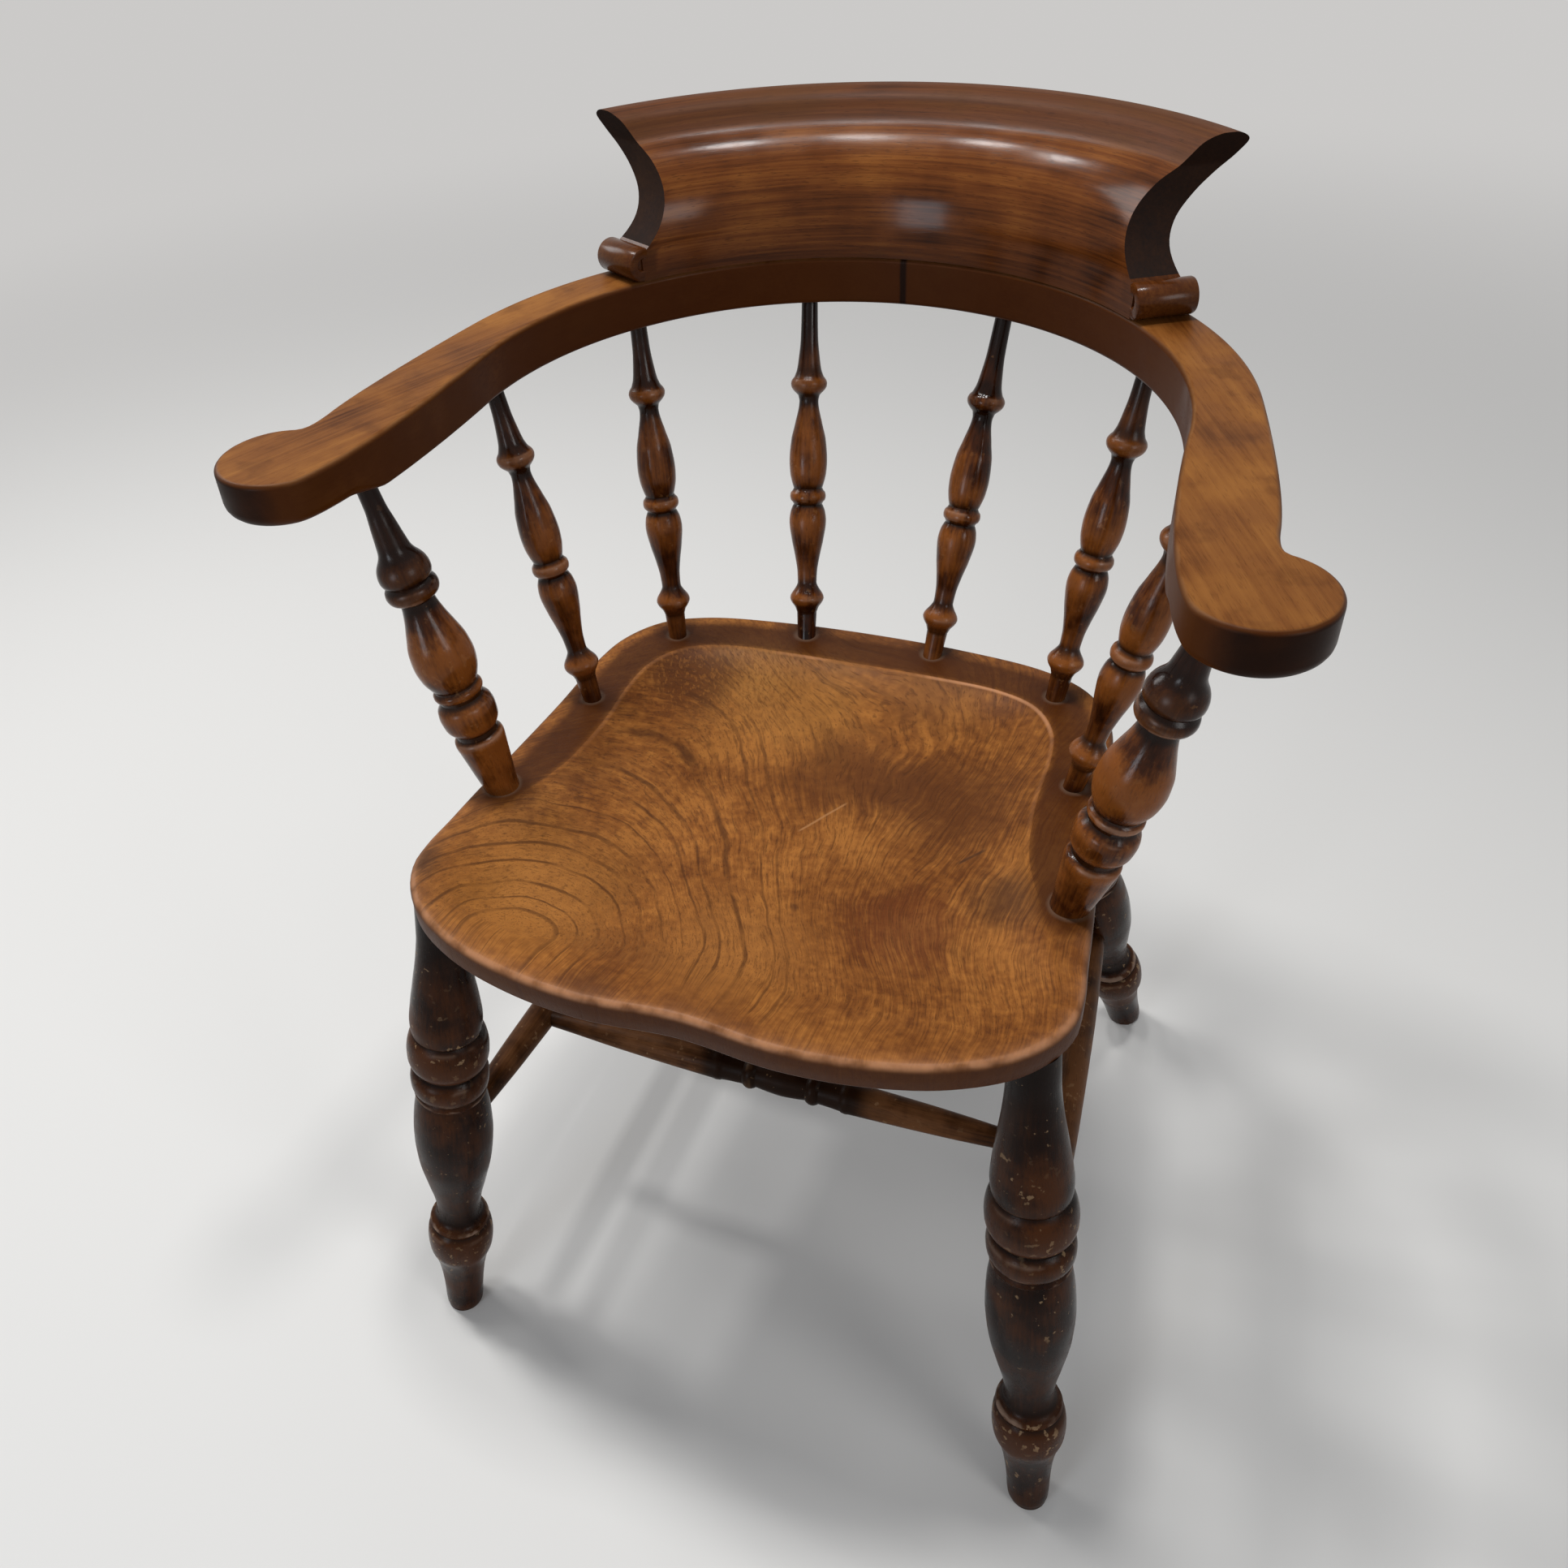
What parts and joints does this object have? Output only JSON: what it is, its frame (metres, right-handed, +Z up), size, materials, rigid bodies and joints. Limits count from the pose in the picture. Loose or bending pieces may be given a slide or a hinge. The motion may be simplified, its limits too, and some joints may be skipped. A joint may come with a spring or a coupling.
{
  "type": "captains chair",
  "caption": "Low-backed wooden armchair: scooped seat on splayed turned legs, turned uprights, a sawn bow that makes both arms, and a flared crest with scrolled ends.",
  "frame": {"origin": "on the floor, under the middle of the chair's box", "axes": "+Z up, the chair faces -Y, +X to the right as seen from the front"},
  "size_m": [0.591, 0.543, 0.8108],
  "materials": {
    "seat_wood": "satin wax over open elm grain",
    "bow_wood": "satin wax",
    "crest_wood": "gloss polish",
    "upright_wood": "semi-gloss polish",
    "leg_wood": "worn dark polish",
    "stretcher_wood": "worn satin",
    "dowel_wood": "bare"
  },
  "bodies": {
    "root": {"seat": "seat_wood", "crest": "crest_wood", "stretcher_cross_front": "stretcher_wood", "stretcher_cross_rear": "stretcher_wood", "arm_left": "bow_wood", "stretcher_left": "stretcher_wood", "leg_front_left": "leg_wood", "leg_back_left": "leg_wood", "post_left": "upright_wood", "spindle_side_left": "upright_wood", "spindle_corner_left": "upright_wood", "spindle_back_left": "upright_wood", "arm_right": "bow_wood", "stretcher_right": "stretcher_wood", "leg_front_right": "leg_wood", "leg_back_right": "leg_wood", "post_right": "upright_wood", "spindle_side_right": "upright_wood", "spindle_corner_right": "upright_wood", "spindle_back_right": "upright_wood", "crest_dowel_1": "dowel_wood", "crest_dowel_2": "dowel_wood", "crest_dowel_3": "dowel_wood", "crest_dowel_4": "dowel_wood", "seam_dowel_1": "dowel_wood", "seam_dowel_2": "dowel_wood"}
  },
  "joints": []
}
